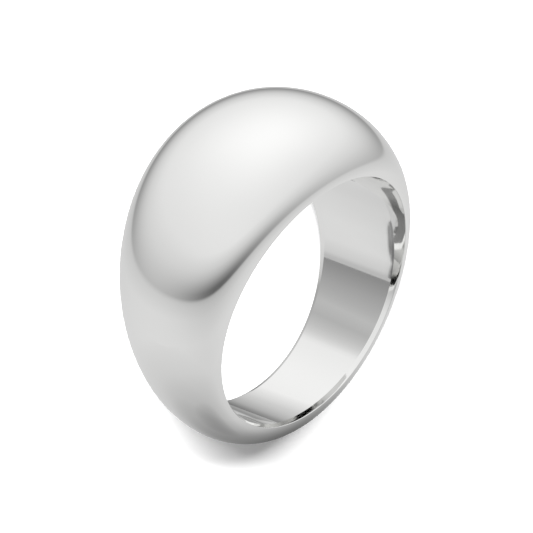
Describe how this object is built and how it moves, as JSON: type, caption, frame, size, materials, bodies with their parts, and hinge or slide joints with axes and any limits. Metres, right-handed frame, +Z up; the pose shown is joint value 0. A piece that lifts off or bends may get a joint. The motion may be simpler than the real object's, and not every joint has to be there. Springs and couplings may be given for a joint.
{
  "type": "dome ring",
  "caption": "Polished metal finger ring in one piece, with a high smooth dome that narrows round both sides of a plain round hole to a slim shank. Both ends of the hole are bevelled.",
  "frame": {"origin": "under the middle of the ring's box, on the surface that the ring lies on", "axes": "+Z up, the ring lying on its side; -Y towards the middle of the dome and +Y towards the back of the shank; +X across the finger hole"},
  "size_m": [0.0222, 0.0236, 0.0118],
  "materials": {
    "polished_silver": "mirror polished"
  },
  "bodies": {
    "root": {"ring": "polished_silver"}
  },
  "joints": []
}
